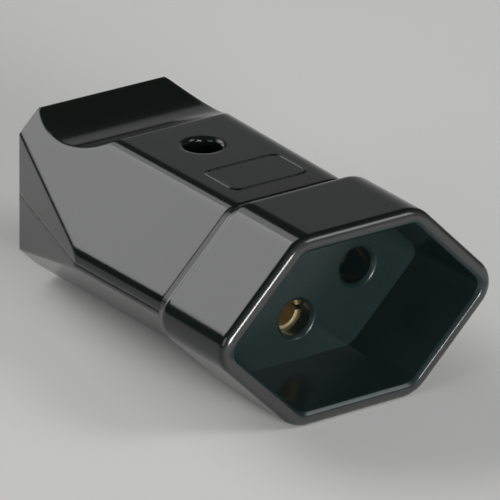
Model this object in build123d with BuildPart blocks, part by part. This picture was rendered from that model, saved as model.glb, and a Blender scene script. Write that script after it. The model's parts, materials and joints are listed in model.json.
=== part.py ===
from build123d import *
from math import sqrt
import os

# Rewireable three-pole inline socket: a front body with a six-sided recess, a grip of two shells
# held by one screw, three sleeve contacts with terminals, and a cord clamp. Millimetres.
# The mouth faces -Y, the cord inlet faces +Y, +Z is up and the part rests on the body's collar.
# Depth is measured from the mouth rearwards, height from the socket's axis upwards.

# Outside
overall_length = 58.2
collar_width = 45.0
collar_height = 26.0
collar_length = 13.4
seam_depth = 16.1
collar_pointed_radius = 3.8
collar_edge_radius = 5.0
rim_radius = 1.1
rim_chamfer = 0.45
shoulder_drop = 1.4
shoulder_radius = 2.0

# Recess and pin pattern
mouth_width = 39.3
mouth_height = 21.9
floor_width = 38.8
floor_height = 21.4
recess_depth = 13.5
recess_pointed_radius = 1.8
recess_edge_radius = 2.5
floor_thickness = 3.0
line_spacing = 19.0
earth_drop = 5.0
pin_hole = 4.9
pin_hole_chamfer = 0.45

# Neck and contact chambers behind the recess
neck_end = 24.0
neck_wall = 1.5
neck_clearance = 0.2
groove_start = 19.0
groove_width = 2.0
groove_cut = 0.8
rib_clearance = 0.15
chamber_outer = 9.0
chamber_bore = 6.6
line_chamber_setback = 3.0
line_chamber_end = 31.0

# Grip shells
grip_front_width = 40.4
grip_rear_width = 42.6
grip_rear_height = 23.5
grip_pointed_radius = 2.6
grip_edge_radius = 3.5
grip_wall = 1.8
rear_wall = 2.2
rear_width = 25.9
rear_edge_radius = 0.5
facet_slope = 0.2865
parting_gap = 0.1
parting_drop = 0.4
scoop_depth = 50.2
scoop_floor = 9.35
scoop_radius = 15.2
scoop_edge_radius = 0.4
inlet_bore = 8.4
inlet_chamfer = 0.6
wall_bite = 0.6

# Shell screw and nut, metric 2.5
screw_depth = 34.7
screw_seat = 6.4
screw_head = 4.5
screw_head_height = 1.6
screw_shank = 2.5
screw_length = 16.0
screw_slot = 0.7
screw_well = 5.0
screw_well_chamfer = 0.35
screw_hole = 2.8
boss_outer = 6.8
nut_flats = 5.0
nut_height = 2.0
nut_bottom = -9.2
nut_clearance = 0.1
nut_bore_clearance = 0.03
screw_tip_room = 0.2
pillar_front = 31.6
pillar_rear = 38.6
tip_notch = 4.6
tip_notch_end = 32.8

# Contacts
sleeve_bore = 4.06
sleeve_outer = 5.6
sleeve_slit = 0.7
line_slit_length = 9.0
earth_slit_length = 6.5
pin_length = 19.0
pin_room = 0.5
block_width = 6.6
line_block_height = 7.4
line_block_end = 39.5
block_chamfer = 0.4
earth_block_bottom = -8.3
earth_headroom = 2.2
earth_block_end = 31.1
wire_hole = 3.0
line_wire_hole_start = 34.4
line_terminal_depth = 37.0
earth_wire_height = 5.0
earth_terminal_depth = 27.8
terminal_hole = 3.0
terminal_shank = 2.9
terminal_head = 4.2
terminal_head_height = 1.2
terminal_slot = 0.8
line_terminal_length = 3.4
earth_terminal_length = 2.6
spring_length = 3.5
spring_wall = 0.35
spring_clearance = 0.02
spring_opening = 1.0
spring_setback = 2.0
contact_stop_start = 39.6
contact_stop_length = 1.4
contact_stop_top = -0.5
wire_notch_clearance = 0.4

# Cord clamp
clamp_depth = 46.5
clamp_spacing = 17.0
clamp_boss = 6.0
clamp_boss_top = -2.0
clamp_length = 6.0
clamp_thickness = 2.0
clamp_width = 23.0
clamp_corner_radius = 1.0
cord_diameter = 7.5
saddle_width = 10.0
saddle_top = -2.4
clamp_screw_shank = 2.8
clamp_screw_length = 8.0
clamp_screw_head = 5.2
clamp_screw_head_height = 2.0
clamp_screw_chamfer = 0.7
clamp_pilot = 2.9
clamp_pilot_depth = 7.0
clamp_hole = 3.2

near = 0.01
axis_height = collar_height / 2
mouth_y = -overall_length / 2
floor_back = recess_depth + floor_thickness
line_chamber_start = floor_back + line_chamber_setback
line_bore_end = recess_depth + pin_length + pin_room
grip_front = seam_depth + parting_gap
collar_wall = (collar_height - mouth_height) / 2
grip_front_height = collar_height - 2 * shoulder_drop
earth_block_top = grip_front_height / 2 - grip_wall - earth_headroom
pin_places = [(-line_spacing / 2, 0), (line_spacing / 2, 0), (0, -earth_drop)]
line_places = pin_places[:2]
earth_place = pin_places[2]
clamp_places = [(-clamp_spacing / 2, clamp_depth), (clamp_spacing / 2, clamp_depth)]


def station(depth):
    return Plane(origin=(0, mouth_y + depth, axis_height), x_dir=(1, 0, 0), z_dir=(0, -1, 0))


def level(height):
    return Plane(origin=(0, mouth_y, axis_height + height))


def side_view():
    return Plane(origin=(0, mouth_y, axis_height), x_dir=(0, 1, 0), z_dir=(1, 0, 0))


def hexagon(width, height):
    # Flat top and bottom, sides that run at 45 degrees to a point at mid height
    flat = (width - height) / 2
    with BuildSketch() as section:
        with BuildLine():
            Polyline(
                (width / 2, 0),
                (flat, height / 2),
                (-flat, height / 2),
                (-width / 2, 0),
                (-flat, -height / 2),
                (flat, -height / 2),
                close=True,
            )
        make_face()
    return section.sketch


def inner_hexagon(inset):
    # The grip's front section, moved inwards by the same distance on every face
    return hexagon(grip_front_width - 2 * sqrt(2) * inset, grip_front_height - 2 * inset)


def six_sided_block(front, rear):
    # Block between two sections, each given as width, height and depth, trimmed by two flat
    # and four 45 degree faces that tilt from one end to the other
    width, height, start = front
    length = rear[2] - start
    spread = (rear[0] - width) / 2 / length
    rise = (rear[1] - height) / 2 / length
    with BuildPart() as block:
        with BuildSketch(station(start)):
            Rectangle(2 * collar_width, 2 * collar_width)
        extrude(amount=-length)
        for up in (-1, 1):
            flat_origin = (0, mouth_y + start, axis_height + up * height / 2)
            split(bisect_by=Plane(origin=flat_origin, z_dir=(0, -rise, up)), keep=Keep.BOTTOM)
            for side in (-1, 1):
                slant_origin = (side * width / 2, mouth_y + start, axis_height)
                split(bisect_by=Plane(origin=slant_origin, z_dir=(side, -spread, up)), keep=Keep.BOTTOM)
    return block.part


def grip_block(inset):
    # The grip before its facets and scoop are cut, moved inwards by the same distance on every face
    slanted_inset = 2 * sqrt(2) * inset
    return six_sided_block(
        (grip_front_width - slanted_inset, grip_front_height - 2 * inset, grip_front),
        (grip_rear_width - slanted_inset, grip_rear_height - 2 * inset, overall_length),
    )


def lengthwise(shape):
    return shape.edges().filter_by(lambda edge: abs((edge % 0.5).Y) > 0.9)


def rounded_block(block, pointed_radius, edge_radius):
    with BuildPart() as rounded:
        add(block)
        fillet(lengthwise(rounded).group_by(Axis.Z)[1], pointed_radius)
        fillet(lengthwise(rounded).group_by(Axis.Z)[0], edge_radius)
        fillet(lengthwise(rounded).group_by(Axis.Z)[-1], edge_radius)
    return rounded.part


def facet_plane(side, inset):
    # Long side facet of the grip, moved inwards by a wall
    shift = inset * sqrt(1 + facet_slope**2)
    origin = (side * (rear_width / 2 - shift), mouth_y + overall_length, axis_height)
    return Plane(origin=origin, z_dir=(side, facet_slope, 0))


def scoop_cut(inset):
    # Round cut across the top of the grip, moved inwards by a wall
    with BuildPart() as cut:
        with BuildSketch(side_view()):
            with Locations((scoop_depth, scoop_floor + scoop_radius)):
                Circle(scoop_radius + inset)
        extrude(amount=collar_width, both=True)
    return cut.part


def grip_room(wall):
    # Solid of the space inside the grip, one wall thickness in from every face
    with BuildPart() as room:
        add(grip_block(wall))
        split(bisect_by=station(overall_length - rear_wall), keep=Keep.TOP)
        for side in (-1, 1):
            split(bisect_by=facet_plane(side, wall), keep=Keep.BOTTOM)
        add(scoop_cut(wall), mode=Mode.SUBTRACT)
    return room.part


# Front body: collar with its rounded rim, sloping shoulder and neck
with BuildPart() as socket_body:
    collar = six_sided_block((collar_width, collar_height, 0), (collar_width, collar_height, seam_depth))
    add(rounded_block(collar, collar_pointed_radius, collar_edge_radius))
    seam_face = socket_body.faces().sort_by(Axis.Y)[-1]
    chamfer(seam_face.edges(), shoulder_drop, seam_depth - collar_length, reference=seam_face)
    shoulder = socket_body.edges().filter_by_position(
        Axis.Y, mouth_y + collar_length - near, mouth_y + collar_length + near
    )
    fillet(shoulder, shoulder_radius)
    fillet(socket_body.faces().sort_by(Axis.Y)[0].edges(), min(rim_radius, 0.6 * collar_wall))
    with BuildSketch(station(seam_depth)):
        add(inner_hexagon(grip_wall + neck_clearance))
    extrude(amount=-(neck_end - seam_depth))
    with BuildSketch(station(floor_back)):
        add(inner_hexagon(grip_wall + neck_clearance + neck_wall))
    extrude(amount=-(neck_end - floor_back), mode=Mode.SUBTRACT)
    # Recess, tapering a little towards its floor
    recess = six_sided_block((mouth_width, mouth_height, 0), (floor_width, floor_height, recess_depth))
    add(rounded_block(recess, recess_pointed_radius, recess_edge_radius), mode=Mode.SUBTRACT)
    rim = socket_body.faces().sort_by(Axis.Y)[0]
    chamfer(rim.inner_wires().edges(), min(rim_chamfer, collar_wall / 4))
    # Contact chambers: tubes open to the rear, each with a pin hole through the floor
    with BuildSketch(station(floor_back)):
        with Locations(*line_places):
            Circle(chamber_outer / 2)
    extrude(amount=-(line_chamber_end - floor_back))
    with BuildSketch(station(floor_back)):
        with Locations(earth_place):
            Circle(chamber_outer / 2)
    extrude(amount=-(neck_end - floor_back))
    with BuildSketch(station(groove_start)):
        add(inner_hexagon(0))
        add(inner_hexagon(grip_wall + neck_clearance + groove_cut), mode=Mode.SUBTRACT)
    extrude(amount=-groove_width, mode=Mode.SUBTRACT)
    with BuildSketch(station(line_chamber_start)):
        with Locations(*line_places):
            Circle(chamber_bore / 2)
    extrude(amount=-(line_chamber_end - line_chamber_start), mode=Mode.SUBTRACT)
    with BuildSketch(station(floor_back)):
        with Locations(earth_place):
            Circle(chamber_bore / 2)
    extrude(amount=-(neck_end - floor_back), mode=Mode.SUBTRACT)
    with BuildSketch(station(recess_depth)):
        with Locations(*pin_places):
            Circle(pin_hole / 2)
    extrude(amount=-(line_chamber_start - recess_depth), mode=Mode.SUBTRACT)
    hole_edges = socket_body.edges().filter_by(GeomType.CIRCLE).filter_by_position(
        Axis.Y, mouth_y + recess_depth - near, mouth_y + recess_depth + near
    )
    chamfer(hole_edges.filter_by(lambda edge: abs(edge.radius - pin_hole / 2) < near), pin_hole_chamfer)

# Outer form of the closed grip: six-sided, spreading a little towards the rear, with a long
# facet down each side that narrows it again and a thumb scoop across the top
with BuildPart() as grip_form:
    add(rounded_block(grip_block(0), grip_pointed_radius, grip_edge_radius))
    for side in (-1, 1):
        split(bisect_by=facet_plane(side, 0), keep=Keep.BOTTOM)
    add(scoop_cut(0), mode=Mode.SUBTRACT)
    scoop = grip_form.faces().filter_by(GeomType.CYLINDER).filter_by(
        lambda face: abs(face.radius - scoop_radius) < near
    )
    scoop_sides = scoop.edges().filter_by(lambda edge: abs(edge.center().X) > rear_width / 5)
    fillet(scoop_sides, scoop_edge_radius)
    fillet(grip_form.faces().sort_by(Axis.Y)[-1].edges(), rear_edge_radius)

# Both shells together: wall, rib that sits in the neck's groove, cord inlet
with BuildPart() as grip_blank:
    add(grip_form.part)
    add(grip_room(grip_wall), mode=Mode.SUBTRACT)
    with BuildSketch(station(groove_start + rib_clearance)):
        add(inner_hexagon(grip_wall - wall_bite))
        add(inner_hexagon(grip_wall + neck_clearance + groove_cut - rib_clearance), mode=Mode.SUBTRACT)
    extrude(amount=-(groove_width - 2 * rib_clearance))
    with BuildSketch(station(overall_length)):
        Circle(inlet_bore / 2)
    extrude(amount=2 * rear_wall, mode=Mode.SUBTRACT)
    inlet_edges = grip_blank.edges().filter_by(GeomType.CIRCLE).filter_by(
        lambda edge: abs(edge.radius - inlet_bore / 2) < near
    )
    chamfer(inlet_edges.sort_by(Axis.Y)[-1], inlet_chamfer)

with BuildPart() as upper_shell:
    add(grip_blank.part)
    split(bisect_by=level(parting_gap / 2 - parting_drop), keep=Keep.TOP)
    with BuildSketch(level(0)):
        with Locations((0, screw_depth)):
            Circle(boss_outer / 2)
    extrude(amount=grip_front_height / 2 - grip_wall / 2)
    with BuildSketch(level(screw_seat)):
        with Locations((0, screw_depth)):
            Circle(screw_well / 2)
    extrude(amount=grip_front_height / 2, mode=Mode.SUBTRACT)
    with BuildSketch(level(0)):
        with Locations((0, screw_depth)):
            Circle(screw_hole / 2)
    extrude(amount=screw_seat, mode=Mode.SUBTRACT)
    well_mouth = (0, mouth_y + screw_depth, axis_height + grip_front_height / 2)
    well = upper_shell.faces().filter_by(GeomType.CYLINDER).sort_by_distance(well_mouth)[0]
    chamfer(well.edges().sort_by(Axis.Z)[-1], screw_well_chamfer)

# Fittings inside the lower shell, which end inside its wall
with BuildPart() as lower_fittings:
    inner_bottom = -grip_rear_height / 2
    # Pillar under the upper shell's boss
    with BuildSketch(level(inner_bottom)):
        with Locations((0, (pillar_front + pillar_rear) / 2)):
            Rectangle(boss_outer, pillar_rear - pillar_front)
    extrude(amount=-inner_bottom)
    # Stops behind the line contacts, notched for the wires
    with BuildSketch(station(contact_stop_start)):
        with Locations(*[(x, (inner_bottom + contact_stop_top) / 2) for x, _ in line_places]):
            Rectangle(block_width, contact_stop_top - inner_bottom)
        with Locations(*line_places):
            Circle(wire_hole / 2 + wire_notch_clearance, mode=Mode.SUBTRACT)
    extrude(amount=-contact_stop_length)
    # Cord saddle between the two clamp bosses
    with BuildSketch(station(clamp_depth - clamp_length / 2)):
        with Locations((0, (inner_bottom + saddle_top) / 2)):
            Rectangle(saddle_width, saddle_top - inner_bottom)
        Circle(cord_diameter / 2, mode=Mode.SUBTRACT)
    extrude(amount=-clamp_length)
    with BuildSketch(level(inner_bottom)):
        with Locations(*clamp_places):
            Circle(clamp_boss / 2)
    extrude(amount=clamp_boss_top - inner_bottom)
    add(grip_room(grip_wall - wall_bite), mode=Mode.INTERSECT)

with BuildPart() as lower_shell:
    add(grip_blank.part)
    split(bisect_by=level(-parting_gap / 2 - parting_drop), keep=Keep.BOTTOM)
    add(lower_fittings.part)
    # Slot that holds the nut, open to the rear, and the screw's hole
    slot_front = screw_depth - nut_flats / sqrt(3) - nut_clearance
    with BuildSketch(level(nut_bottom - nut_clearance)):
        with Locations((0, (slot_front + pillar_rear) / 2)):
            Rectangle(nut_flats + 2 * nut_clearance, pillar_rear - slot_front)
    extrude(amount=nut_height + 2 * nut_clearance, mode=Mode.SUBTRACT)
    with BuildSketch(level(0)):
        with Locations((0, screw_depth)):
            Circle(screw_hole / 2)
    extrude(amount=-(screw_length - screw_seat + screw_tip_room), mode=Mode.SUBTRACT)
    with BuildSketch(station(pillar_front)):
        with Locations(earth_place):
            Circle(tip_notch / 2)
    extrude(amount=-(tip_notch_end - pillar_front), mode=Mode.SUBTRACT)
    with BuildSketch(level(clamp_boss_top)):
        with Locations(*clamp_places):
            Circle(clamp_pilot / 2)
    extrude(amount=-clamp_pilot_depth, mode=Mode.SUBTRACT)

# Cheese-head screw through the boss
with BuildPart() as shell_screw:
    with BuildSketch(level(screw_seat)):
        with Locations((0, screw_depth)):
            Circle(screw_head / 2)
    extrude(amount=screw_head_height)
    with BuildSketch(level(screw_seat)):
        with Locations((0, screw_depth)):
            Circle(screw_shank / 2)
    extrude(amount=-screw_length)
    with BuildSketch(level(screw_seat + screw_head_height)):
        with Locations((0, screw_depth)):
            Rectangle(screw_head, screw_slot)
    extrude(amount=-screw_head_height / 2, mode=Mode.SUBTRACT)

with BuildPart() as shell_nut:
    with BuildSketch(level(nut_bottom)):
        with Locations((0, screw_depth)):
            RegularPolygon(nut_flats / 2, 6, major_radius=False, rotation=30)
            Circle(screw_shank / 2 + nut_bore_clearance, mode=Mode.SUBTRACT)
    extrude(amount=nut_height)

# Line contact: slit sleeve, terminal block, wire hole from the rear, screw hole from above
with BuildPart() as line_contact:
    with BuildSketch(station(line_chamber_start)):
        Circle(sleeve_outer / 2)
    extrude(amount=-(line_chamber_end - line_chamber_start))
    with BuildSketch(station(line_chamber_end)):
        Rectangle(block_width, line_block_height)
    extrude(amount=-(line_block_end - line_chamber_end))
    chamfer(line_contact.faces().sort_by(Axis.Y)[-1].edges(), block_chamfer)
    with BuildSketch(station(line_chamber_start)):
        Circle(sleeve_bore / 2)
    extrude(amount=-(line_bore_end - line_chamber_start), mode=Mode.SUBTRACT)
    with BuildSketch(station(line_chamber_start)):
        Rectangle(2 * sleeve_outer, sleeve_slit)
    extrude(amount=-line_slit_length, mode=Mode.SUBTRACT)
    with BuildSketch(station(line_wire_hole_start)):
        Circle(wire_hole / 2)
    extrude(amount=-(line_block_end - line_wire_hole_start), mode=Mode.SUBTRACT)
    with BuildSketch(level(0)):
        with Locations((0, line_terminal_depth)):
            Circle(terminal_hole / 2)
    extrude(amount=line_block_height, mode=Mode.SUBTRACT)

with BuildPart() as line_contact_left:
    with Locations((-line_spacing / 2, 0, 0)):
        add(line_contact.part)

with BuildPart() as line_contact_right:
    with Locations((line_spacing / 2, 0, 0)):
        add(line_contact.part)

# Earth contact: its block stands up behind the chamber and the wire enters from either side
with BuildPart() as earth_contact:
    with BuildSketch(station(floor_back)):
        with Locations(earth_place):
            Circle(sleeve_outer / 2)
    extrude(amount=-(neck_end - floor_back))
    with BuildSketch(station(neck_end)):
        with Locations((0, (earth_block_bottom + earth_block_top) / 2)):
            Rectangle(block_width, earth_block_top - earth_block_bottom)
    extrude(amount=-(earth_block_end - neck_end))
    chamfer(earth_contact.faces().sort_by(Axis.Y)[-1].edges(), block_chamfer)
    with BuildSketch(station(floor_back)):
        with Locations(earth_place):
            Circle(sleeve_bore / 2)
    extrude(amount=-(earth_block_end - floor_back), mode=Mode.SUBTRACT)
    with BuildSketch(station(floor_back)):
        with Locations(earth_place):
            Rectangle(2 * sleeve_outer, sleeve_slit)
    extrude(amount=-earth_slit_length, mode=Mode.SUBTRACT)
    with BuildSketch(side_view()):
        with Locations((earth_terminal_depth, earth_wire_height)):
            Circle(wire_hole / 2)
    extrude(amount=block_width, both=True, mode=Mode.SUBTRACT)
    with BuildSketch(level(earth_wire_height)):
        with Locations((0, earth_terminal_depth)):
            Circle(terminal_hole / 2)
    extrude(amount=earth_block_top, mode=Mode.SUBTRACT)

# Steel rings that close the slit sleeves on the pins
with BuildPart() as contact_spring:
    with BuildSketch(station(0)):
        Circle(sleeve_outer / 2 + spring_clearance + spring_wall)
        Circle(sleeve_outer / 2 + spring_clearance, mode=Mode.SUBTRACT)
        with Locations((0, sleeve_outer / 2)):
            Rectangle(spring_opening, sleeve_outer / 2, mode=Mode.SUBTRACT)
    extrude(amount=-spring_length)

with BuildPart() as line_spring_left:
    with Locations((-line_spacing / 2, line_chamber_start + spring_setback, 0)):
        add(contact_spring.part)

with BuildPart() as line_spring_right:
    with Locations((line_spacing / 2, line_chamber_start + spring_setback, 0)):
        add(contact_spring.part)

with BuildPart() as earth_spring:
    with Locations((0, floor_back + spring_setback, -earth_drop)):
        add(contact_spring.part)

# Slotted terminal screws, seated on their blocks
with BuildPart() as line_terminal_screw:
    with BuildSketch(level(line_block_height / 2)):
        with Locations((0, line_terminal_depth)):
            Circle(terminal_head / 2)
    extrude(amount=terminal_head_height)
    with BuildSketch(level(line_block_height / 2)):
        with Locations((0, line_terminal_depth)):
            Circle(terminal_shank / 2)
    extrude(amount=-line_terminal_length)
    with BuildSketch(level(line_block_height / 2 + terminal_head_height)):
        with Locations((0, line_terminal_depth)):
            Rectangle(terminal_slot, terminal_head)
    extrude(amount=-terminal_head_height / 2, mode=Mode.SUBTRACT)

with BuildPart() as terminal_screw_left:
    with Locations((-line_spacing / 2, 0, 0)):
        add(line_terminal_screw.part)

with BuildPart() as terminal_screw_right:
    with Locations((line_spacing / 2, 0, 0)):
        add(line_terminal_screw.part)

with BuildPart() as terminal_screw_earth:
    with BuildSketch(level(earth_block_top)):
        with Locations((0, earth_terminal_depth)):
            Circle(terminal_head / 2)
    extrude(amount=terminal_head_height)
    with BuildSketch(level(earth_block_top)):
        with Locations((0, earth_terminal_depth)):
            Circle(terminal_shank / 2)
    extrude(amount=-earth_terminal_length)
    with BuildSketch(level(earth_block_top + terminal_head_height)):
        with Locations((0, earth_terminal_depth)):
            Rectangle(terminal_slot, terminal_head)
    extrude(amount=-terminal_head_height / 2, mode=Mode.SUBTRACT)

# Cord clamp: a strap that arches over the cord, on two bosses
with BuildPart() as cord_clamp_bar:
    with BuildSketch(station(clamp_depth - clamp_length / 2)):
        with Locations((0, clamp_boss_top + clamp_thickness / 2)):
            Rectangle(clamp_width, clamp_thickness)
        Circle(cord_diameter / 2 + clamp_thickness)
        Circle(cord_diameter / 2, mode=Mode.SUBTRACT)
        with Locations((0, clamp_boss_top - cord_diameter)):
            Rectangle(clamp_width, 2 * cord_diameter, mode=Mode.SUBTRACT)
    extrude(amount=-clamp_length)
    upright_edges = cord_clamp_bar.edges().filter_by(Axis.Z)
    fillet(upright_edges.group_by(Axis.X)[0] + upright_edges.group_by(Axis.X)[-1], clamp_corner_radius)
    with BuildSketch(level(clamp_boss_top)):
        with Locations(*clamp_places):
            Circle(clamp_hole / 2)
    extrude(amount=clamp_thickness, mode=Mode.SUBTRACT)

with BuildPart() as clamp_screw:
    with BuildSketch(level(clamp_boss_top + clamp_thickness)):
        with Locations((0, clamp_depth)):
            Circle(clamp_screw_head / 2)
    extrude(amount=clamp_screw_head_height)
    chamfer(clamp_screw.edges().sort_by(Axis.Z)[-1], clamp_screw_chamfer)
    with BuildSketch(level(clamp_boss_top + clamp_thickness)):
        with Locations((0, clamp_depth)):
            Circle(clamp_screw_shank / 2)
    extrude(amount=-clamp_screw_length)
    with BuildSketch(level(clamp_boss_top + clamp_thickness + clamp_screw_head_height)):
        with Locations((0, clamp_depth)):
            Rectangle(clamp_screw_head, terminal_slot)
    extrude(amount=-clamp_screw_head_height / 2, mode=Mode.SUBTRACT)

with BuildPart() as clamp_screw_left:
    with Locations((-clamp_spacing / 2, 0, 0)):
        add(clamp_screw.part)

with BuildPart() as clamp_screw_right:
    with Locations((clamp_spacing / 2, 0, 0)):
        add(clamp_screw.part)

pieces = {
    "socket_body": socket_body,
    "upper_shell": upper_shell,
    "lower_shell": lower_shell,
    "shell_screw": shell_screw,
    "shell_nut": shell_nut,
    "line_contact_left": line_contact_left,
    "line_contact_right": line_contact_right,
    "earth_contact": earth_contact,
    "line_spring_left": line_spring_left,
    "line_spring_right": line_spring_right,
    "earth_spring": earth_spring,
    "terminal_screw_left": terminal_screw_left,
    "terminal_screw_right": terminal_screw_right,
    "terminal_screw_earth": terminal_screw_earth,
    "cord_clamp_bar": cord_clamp_bar,
    "clamp_screw_left": clamp_screw_left,
    "clamp_screw_right": clamp_screw_right,
}

os.makedirs("parts", exist_ok=True)
for name, piece in pieces.items():
    piece.part.label = name
    export_step(piece.part, f"parts/{name}.step")
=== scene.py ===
import json
import math

import bpy
import numpy as np
from mathutils import Matrix, Vector


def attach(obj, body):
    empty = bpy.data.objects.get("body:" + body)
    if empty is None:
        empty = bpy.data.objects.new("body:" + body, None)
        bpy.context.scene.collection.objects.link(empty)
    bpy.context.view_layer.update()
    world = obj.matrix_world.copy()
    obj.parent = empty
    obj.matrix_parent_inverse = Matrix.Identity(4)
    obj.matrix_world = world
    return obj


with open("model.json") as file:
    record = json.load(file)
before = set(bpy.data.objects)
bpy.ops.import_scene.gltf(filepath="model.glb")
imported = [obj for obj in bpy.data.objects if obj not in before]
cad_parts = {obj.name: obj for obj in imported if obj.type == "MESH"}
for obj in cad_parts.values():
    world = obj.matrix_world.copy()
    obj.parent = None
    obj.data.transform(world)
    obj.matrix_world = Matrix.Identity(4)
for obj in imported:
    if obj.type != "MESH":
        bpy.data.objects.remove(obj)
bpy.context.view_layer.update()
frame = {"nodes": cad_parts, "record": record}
nodes = frame["nodes"]
print("frame loaded,", len(nodes), "nodes")


class Wire:
    # a shader value: sums and products of wires add Math nodes to their tree
    def __init__(self, tree, socket):
        self.tree = tree
        self.socket = socket

    def join(self, operation, first, second):
        return addNode(self.tree, "ShaderNodeMath", {"operation": operation}, {0: first, 1: second})

    def __add__(self, other):
        return self.join("ADD", self, other)

    def __radd__(self, other):
        return self.join("ADD", other, self)

    def __sub__(self, other):
        return self.join("SUBTRACT", self, other)

    def __rsub__(self, other):
        return self.join("SUBTRACT", other, self)

    def __mul__(self, other):
        return self.join("MULTIPLY", self, other)

    def __rmul__(self, other):
        return self.join("MULTIPLY", other, self)

    def __abs__(self):
        return self.join("ABSOLUTE", self, 0)

    def atLeast(self, other):
        return self.join("MAXIMUM", self, other)


def addNode(tree, kind, settings=None, inputs=None, output=0):
    # settings first, then the values or links of the sockets
    made = tree.nodes.new(kind)
    for name, value in (settings or {}).items():
        setattr(made, name, value)
    for name, value in (inputs or {}).items():
        if isinstance(value, Wire):
            tree.links.new(value.socket, made.inputs[name])
        else:
            made.inputs[name].default_value = value
    return Wire(tree, made.outputs[output]) if made.outputs else made


# a Mix node's sockets go by number: 0 factor, 4 and 5 vectors, 6 and 7 colours
def mixVectors(tree, factor, first, second):
    return addNode(tree, "ShaderNodeMix", {"data_type": "VECTOR"}, {0: factor, 4: first, 5: second}, output=1)


def mixColours(tree, factor, first, second):
    return addNode(tree, "ShaderNodeMix", {"data_type": "RGBA"}, {0: factor, 6: first, 7: second}, output=2)


def fadeOver(tree, value, start, end, first=0, last=1):
    # first up to start, last from end on, with a smooth step between
    return addNode(tree, "ShaderNodeMapRange", {"interpolation_type": "SMOOTHSTEP"},
                   {"Value": value, "From Min": start, "From Max": end, "To Min": first, "To Max": last})


def ownPlace(tree):
    # the piece's own coordinates, so that a pattern stays put on the piece
    return addNode(tree, "ShaderNodeTexCoord", output="Object")


def ownAxis(tree, axis):
    return addNode(tree, "ShaderNodeSeparateXYZ", None, {"Vector": ownPlace(tree)}, output=axis)


def spot(tree, scale, detail=2.0, stretch=(1, 1, 1)):
    # noise that is drawn out along the axes by stretch
    drawn = addNode(tree, "ShaderNodeMapping", None, {"Vector": ownPlace(tree), "Scale": stretch})
    return addNode(tree, "ShaderNodeTexNoise", None, {"Vector": drawn, "Scale": scale, "Detail": detail})


def raised(tree, height, depth, normal=None):
    # a normal for a surface that stands depth higher where height is 1
    inputs = {"Strength": 1.0, "Distance": depth, "Height": height}
    if normal:
        inputs["Normal"] = normal
    return addNode(tree, "ShaderNodeBump", None, inputs)


# how sharp edges are rounded in a finish
edgeRounding = {
    "bevelSamples": 16,
    "openSamples": 6,
    "openReach": 3,             # in edge radii
    "openRange": (0.7, 0.95),   # from an inner corner to an outer edge
}


def softEdges(tree, radius):
    # a normal that rounds sharp outer edges and leaves inner corners crisp
    s = edgeRounding
    rounded = addNode(tree, "ShaderNodeBevel", {"samples": s["bevelSamples"]}, {"Radius": radius})
    plain = addNode(tree, "ShaderNodeNewGeometry", output="Normal")
    openness = addNode(tree, "ShaderNodeAmbientOcclusion", {"samples": s["openSamples"]},
                       {"Distance": s["openReach"] * radius}, output="AO")
    return mixVectors(tree, fadeOver(tree, openness, *s["openRange"]), plain, rounded)


def newMaterial(name):
    material = bpy.data.materials.new(name)
    material.use_nodes = True
    tree = material.node_tree
    tree.nodes.clear()
    return material, tree


def surface(tree, inputs):
    # the one shader of a material, joined to its output
    shader = addNode(tree, "ShaderNodeBsdfPrincipled", None, inputs)
    addNode(tree, "ShaderNodeOutputMaterial", None, {"Surface": shader})


# glossy black moulding of the two grip shells
shellPlastic = {
    "dark": (0.0034, 0.0060, 0.0046, 1),
    "light": (0.0054, 0.0088, 0.0068, 1),
    "ior": 1.5,
    "roughness": 0.14,
    "roughnessSpread": 0.08,
    "edgeRadius": 0.0008,   # how far sharp outer edges are softened
    "cloudScale": 90,       # soft gloss patches, about a centimetre wide
    "cloudDetail": 4.0,
    "sinkScale": 70,        # slow waves that bend the reflections, longer along the grip
    "sinkDetail": 1.0,
    "sinkStretch": (1, 0.5, 1),
    "sinkDepth": 0.00004,
    "grainScale": 5200,     # fine tool marks
    "grainDepth": 0.0000022,
}

# the socket body has crisper edges than the shells
socketPlastic = {**shellPlastic, "edgeRadius": 0.00035}

# the recess is less polished and has a green-blue cast, and is painted lighter than the rest of the moulding
# as painted light falling into the mouth; the flat rim is painted lighter grey, a painted reflection of the
# floor in front of it
mouthFinishAndPaintedLight = {
    # painted light: these recess colours are lighter than the shell's, standing in for light falling into the
    # mouth
    "paintedLitRecessDark": (0.0084, 0.0168, 0.0163, 1),
    "paintedLitRecessLight": (0.0122, 0.0235, 0.0228, 1),
    "addedRoughness": 0.09,
    "axisHeight": 0.013,
    "mouthWidth": 0.0393,   # between the points of the hexagon, before they are rounded
    "mouthHeight": 0.0219,
    "recessFade": (0.0003, 0.0009),
    # painted reflection: the flat rim is coloured lighter grey, standing in for the lit floor it mirrors
    "paintedSheenRimColour": (0.033, 0.034, 0.033, 1),
    "rimFade": (-0.0291, -0.0284),
}


def insideMouth(tree, s):
    # 1 within the mouth's hexagon and 0 outside: its flats lie mouthHeight apart,
    # and its slanted sides run at 45 degrees to points mouthWidth apart
    up = abs(ownAxis(tree, "Z") - s["axisHeight"])
    beyondFlats = up - s["mouthHeight"] / 2
    beyondSlants = abs(ownAxis(tree, "X")) + up - s["mouthWidth"] / 2
    return fadeOver(tree, beyondFlats.atLeast(beyondSlants), *s["recessFade"], first=1, last=0)


def onRim(tree, s):
    # 1 at the very front of the body and 0 where the rim's rounded edge ends
    return fadeOver(tree, ownAxis(tree, "Y"), *s["rimFade"], first=1, last=0)


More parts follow.
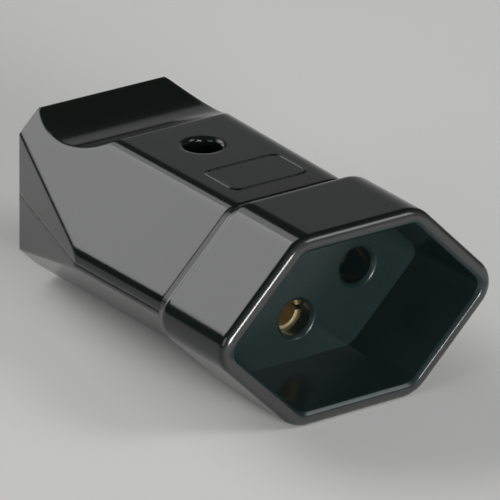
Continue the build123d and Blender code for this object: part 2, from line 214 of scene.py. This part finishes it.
def makeGlossPlastic(name, s, mouth=None):
    material, tree = newMaterial(name)
    cloud = spot(tree, s["cloudScale"], s["cloudDetail"])
    sink = spot(tree, s["sinkScale"], s["sinkDetail"], s["sinkStretch"])
    grain = spot(tree, s["grainScale"])
    colour = mixColours(tree, cloud, s["dark"], s["light"])
    rough = s["roughness"] + (cloud - 0.5) * s["roughnessSpread"]
    if mouth:
        inside = insideMouth(tree, mouth)
        # painted light: the recess gets a lighter copy of the moulding's colour
        paintedLitRecessColour = mixColours(tree, cloud, mouth["paintedLitRecessDark"], mouth["paintedLitRecessLight"])
        # painted reflection: the flat rim at the very front is coloured lighter grey
        colour = mixColours(tree, onRim(tree, mouth), colour, mouth["paintedSheenRimColour"])
        colour = mixColours(tree, inside, colour, paintedLitRecessColour)
        rough = rough + inside * mouth["addedRoughness"]
    waves = raised(tree, sink, s["sinkDepth"], softEdges(tree, s["edgeRadius"]))
    marks = raised(tree, grain, s["grainDepth"], waves)
    surface(tree, {"IOR": s["ior"], "Base Color": colour, "Roughness": rough, "Normal": marks})
    return material


# matt dark grey of the cord clamp
clampPlastic = {
    "dark": (0.05, 0.05, 0.053, 1),
    "light": (0.085, 0.085, 0.09, 1),
    "roughness": 0.55,
    "roughnessSpread": 0.2,
    "grainScale": 2600,
    "grainDetail": 4.0,
    "grainDepth": 0.00002,
}


def makeClampPlastic(name, s):
    material, tree = newMaterial(name)
    grain = spot(tree, s["grainScale"], s["grainDetail"])
    colour = mixColours(tree, grain, s["dark"], s["light"])
    rough = s["roughness"] + (grain - 0.5) * s["roughnessSpread"]
    surface(tree, {"Base Color": colour, "Roughness": rough, "Normal": raised(tree, grain, s["grainDepth"])})
    return material


# turned brass of the contacts: rings across the sleeve's length, a little tarnish
turnedBrass = {
    "bright": (0.89, 0.75, 0.46, 1),
    "tarnishAndShade": (0.68, 0.51, 0.26, 1),
    "roughness": 0.36,
    "tarnishRoughness": 0.2,
    "tarnishScale": 260,
    "tarnishDetail": 5.0,
    "edgeRadius": 0.0004,   # turned lips are well rounded
    "ringScale": 900,
    "ringDetail": 1.0,
    "ringStretch": (0.02, 6, 0.02),
    "ringDepth": 0.00001,
}

# the line contacts lie deeper, and their brass is painted darker all over as painted shade
paintedShadeBrass = {
    **turnedBrass,
    "bright": (0.34, 0.25, 0.12, 1),
    # painted shade: both colours are darkened for contacts that sit in shade
    "tarnishAndShade": (0.16, 0.11, 0.06, 1),
}


def makeBrass(name, s):
    material, tree = newMaterial(name)
    tarnish = spot(tree, s["tarnishScale"], s["tarnishDetail"])
    rings = spot(tree, s["ringScale"], s["ringDetail"], s["ringStretch"])
    colour = mixColours(tree, tarnish, s["bright"], s["tarnishAndShade"])
    rough = s["roughness"] + tarnish * s["tarnishRoughness"]
    turned = raised(tree, rings, s["ringDepth"], softEdges(tree, s["edgeRadius"]))
    surface(tree, {"Metallic": 1.0, "Base Color": colour, "Roughness": rough, "Normal": turned})
    return material


# zinc plated steel of screws, nut and springs
platedSteel = {
    "bright": (0.66, 0.66, 0.65, 1),
    "dull": (0.47, 0.47, 0.45, 1),
    "roughness": 0.3,
    "roughnessSpread": 0.25,
    "spangleScale": 700,
    "spangleDetail": 3.0,
    "spangleDepth": 0.000006,
}


def makePlatedSteel(name, s):
    material, tree = newMaterial(name)
    spangle = spot(tree, s["spangleScale"], s["spangleDetail"])
    colour = mixColours(tree, spangle, s["bright"], s["dull"])
    rough = s["roughness"] + (spangle - 0.5) * s["roughnessSpread"]
    plated = raised(tree, spangle, s["spangleDepth"])
    surface(tree, {"Metallic": 1.0, "Base Color": colour, "Roughness": rough, "Normal": plated})
    return material


finishes = {
    "black_plastic": makeGlossPlastic("blackShellMoulding", shellPlastic),
    "clamp_plastic": makeClampPlastic("mattGreyMoulding", clampPlastic),
    "brass": makeBrass("turnedBrass", turnedBrass),
    "steel": makePlatedSteel("platedSteel", platedSteel),
}
# painted shade: a darkened brass for the deeper line contacts
shadedDeepBrass = makeBrass("paintedShadeBrass", paintedShadeBrass)
ownFinish = {
    "socket_body": makeGlossPlastic("blackSocketMoulding", socketPlastic, mouthFinishAndPaintedLight),
    "line_contact_left": shadedDeepBrass,
    "line_contact_right": shadedDeepBrass,
}
for part in frame["record"]["subparts"]:
    mesh = nodes[part["node"]].data
    mesh.materials.clear()
    mesh.materials.append(ownFinish.get(part["node"], finishes[part["material_slot"]]))
print("materials set,", len(bpy.data.materials), "finishes")


def meshPiece(name, points, faces, material):
    mesh = bpy.data.meshes.new(name)
    mesh.from_pydata(points.tolist(), [], faces.tolist())
    mesh.polygons.foreach_set("use_smooth", np.ones(len(mesh.polygons), bool))
    mesh.materials.append(material)
    piece = bpy.data.objects.new(name, mesh)
    bpy.context.scene.collection.objects.link(piece)
    return piece


def closedSweepFaces(rows, columns):
    # quads of a grid that closes on itself along its rows and stays open across them
    row = np.arange(rows)[:, None]
    column = np.arange(columns - 1)[None, :]
    here = row * columns + column
    ahead = (row + 1) % rows * columns + column
    return np.stack([here, here + 1, ahead + 1, ahead], axis=-1).reshape(-1, 4)


# bare raised frame on the top face, between the seam and the screw
topFrame = {
    "centre": (0.0006, -0.0053),
    "width": 0.0115,
    "depth": 0.0072,
    "corner": 0.0012,
    "rail": 0.0005,
    "height": 0.00018,
    "sunk": 0.00003,                # how far its feet reach into the shell
    "pointsRound": 48,
    "pointsAcross": 9,
    "faceSlope": 0.00015 / 0.042,   # rise of the grip's top face over its length
    "frontBand": 0.00001,           # how close to the shell's front a vertex counts as on it
}


def topHeight(y, s):
    # the grip's top face rises in a straight line from its front edge towards the scoop
    shell = np.empty(len(nodes["upper_shell"].data.vertices) * 3, np.float32)
    nodes["upper_shell"].data.vertices.foreach_get("co", shell)
    shell = shell.reshape(-1, 3)
    front = shell[shell[:, 1] < shell[:, 1].min() + s["frontBand"]]
    return front[:, 2].max() + (y - front[0, 1]) * s["faceSlope"]


def makeTopFrame(s):
    # a half ellipse, rail wide and height tall, carried round a rounded rectangle:
    # each corner is a quarter circle, and the straight sides join their ends
    turn = (np.arange(s["pointsRound"]) + 0.5) * 2 * np.pi / s["pointsRound"]
    direction = np.stack([np.cos(turn), np.sin(turn)], axis=1)
    core = np.array([s["width"], s["depth"]]) / 2 - s["corner"]
    corners = np.array(s["centre"]) + np.sign(direction) * core
    across = np.linspace(0, np.pi, s["pointsAcross"])
    radius = s["corner"] - np.cos(across) * s["rail"] / 2
    plan = corners[:, None, :] + direction[:, None, :] * radius[None, :, None]
    z = topHeight(plan[..., 1], s) + np.sin(across)[None, :] * s["height"] - s["sunk"]
    points = np.concatenate([plan, z[..., None]], axis=2).reshape(-1, 3)
    return meshPiece("top_frame", points, closedSweepFaces(len(turn), len(across)), finishes["black_plastic"])


plate = makeTopFrame(topFrame)
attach(plate, "root")
print("top frame made")


# floor and light
studio = {
    "floorColour": (0.92, 0.92, 0.91, 1),
    "floorRoughness": 0.9,
    "floorSpecular": 0.1,
    "floorSize": 6.0,
    "worldColour": (0.05, 0.05, 0.05, 1),
    "worldStrength": 1.0,
    "middle": (0, 0, 0.013),   # what the lamps face
}

floorMesh = bpy.data.meshes.new("floor")
half = studio["floorSize"] / 2
floorCorners = [(-half, -half, 0), (half, -half, 0), (half, half, 0), (-half, half, 0)]
floorMesh.from_pydata(floorCorners, [], [(0, 1, 2, 3)])
floor = bpy.data.objects.new("floor", floorMesh)
bpy.context.scene.collection.objects.link(floor)
paper, paperTree = newMaterial("paperFloor")
surface(paperTree, {"Base Color": studio["floorColour"], "Roughness": studio["floorRoughness"],
                    "Specular IOR Level": studio["floorSpecular"]})
floorMesh.materials.append(paper)

world = bpy.data.worlds.new("studioWorld")
bpy.context.scene.world = world
world.use_nodes = True
background = world.node_tree.nodes["Background"]
background.inputs["Color"].default_value = studio["worldColour"]
background.inputs["Strength"].default_value = studio["worldStrength"]

# each lamp: direction from the object's middle, distance, width and height, and radiance of its face
lamps = {
    "softboxBehindLeft": ((-0.356, 0.715, 0.602), 1.0, (0.6, 0.42), 3.4),
    "softboxBehind": ((0.06, 0.763, 0.643), 1.0, (0.28, 0.42), 1.7),
    "lowPanelBehind": ((-0.05, 0.975, 0.19), 1.2, (0.5, 0.4), 1.7),
    "stripBehindLeft": ((-0.251, 0.887, 0.386), 1.1, (0.17, 0.11), 2.3),
    "panelBehindRight": ((0.685, 0.715, 0.21), 1.2, (0.56, 0.58), 0.27),
    "lowStripBehindRight": ((0.58, 0.81, 0.07), 1.15, (0.6, 0.16), 0.15),
    "keyFront": ((-0.20, -0.97, 0.15), 1.0, (0.36, 0.30), 28.0),
    "panelFrontRight": ((0.49, -0.62, 0.61), 1.0, (0.42, 0.36), 4.0),
    "fillLeft": ((-0.92, -0.15, 0.36), 1.0, (0.5, 0.5), 2.0),
}
middle = Vector(studio["middle"])
for name, (direction, distance, size, radiance) in lamps.items():
    light = bpy.data.lights.new(name, "AREA")
    light.shape = "RECTANGLE"
    light.size, light.size_y = size
    light.energy = radiance * math.pi * light.size * light.size_y
    lamp = bpy.data.objects.new(name, light)
    bpy.context.scene.collection.objects.link(lamp)
    lamp.location = middle + Vector(direction).normalized() * distance
    lamp.rotation_euler = (lamp.location - middle).to_track_quat("Z", "Y").to_euler()
print("studio lit,", len(lamps), "lamps")


# camera where the photograph was taken from, aimed at the middle of its frame
photoView = {
    "aim": (-0.00917, -0.01803, 0.02065),
    "azimuth": -35.566,
    "elevation": 23.407,
    "roll": 0.841,
    "distance": 0.8075,
    "lens": 462.78,
}


def placeCamera(s):
    azimuth, elevation, roll = (math.radians(s[key]) for key in ("azimuth", "elevation", "roll"))
    back = Vector((math.sin(azimuth) * math.cos(elevation), -math.cos(azimuth) * math.cos(elevation),
                   math.sin(elevation)))
    level = Vector((math.cos(azimuth), math.sin(azimuth), 0))
    upright = back.cross(level)
    across = math.cos(roll) * level + math.sin(roll) * upright
    up = back.cross(across)
    camera = bpy.data.objects.new("camera", bpy.data.cameras.new("camera"))
    bpy.context.scene.collection.objects.link(camera)
    turned = Matrix((across, up, back)).transposed().to_4x4()
    camera.matrix_world = Matrix.Translation(Vector(s["aim"]) + back * s["distance"]) @ turned
    camera.data.lens = s["lens"]
    bpy.context.scene.camera = camera


placeCamera(photoView)
bpy.context.scene.view_settings.view_transform = "Standard"

print("camera placed")
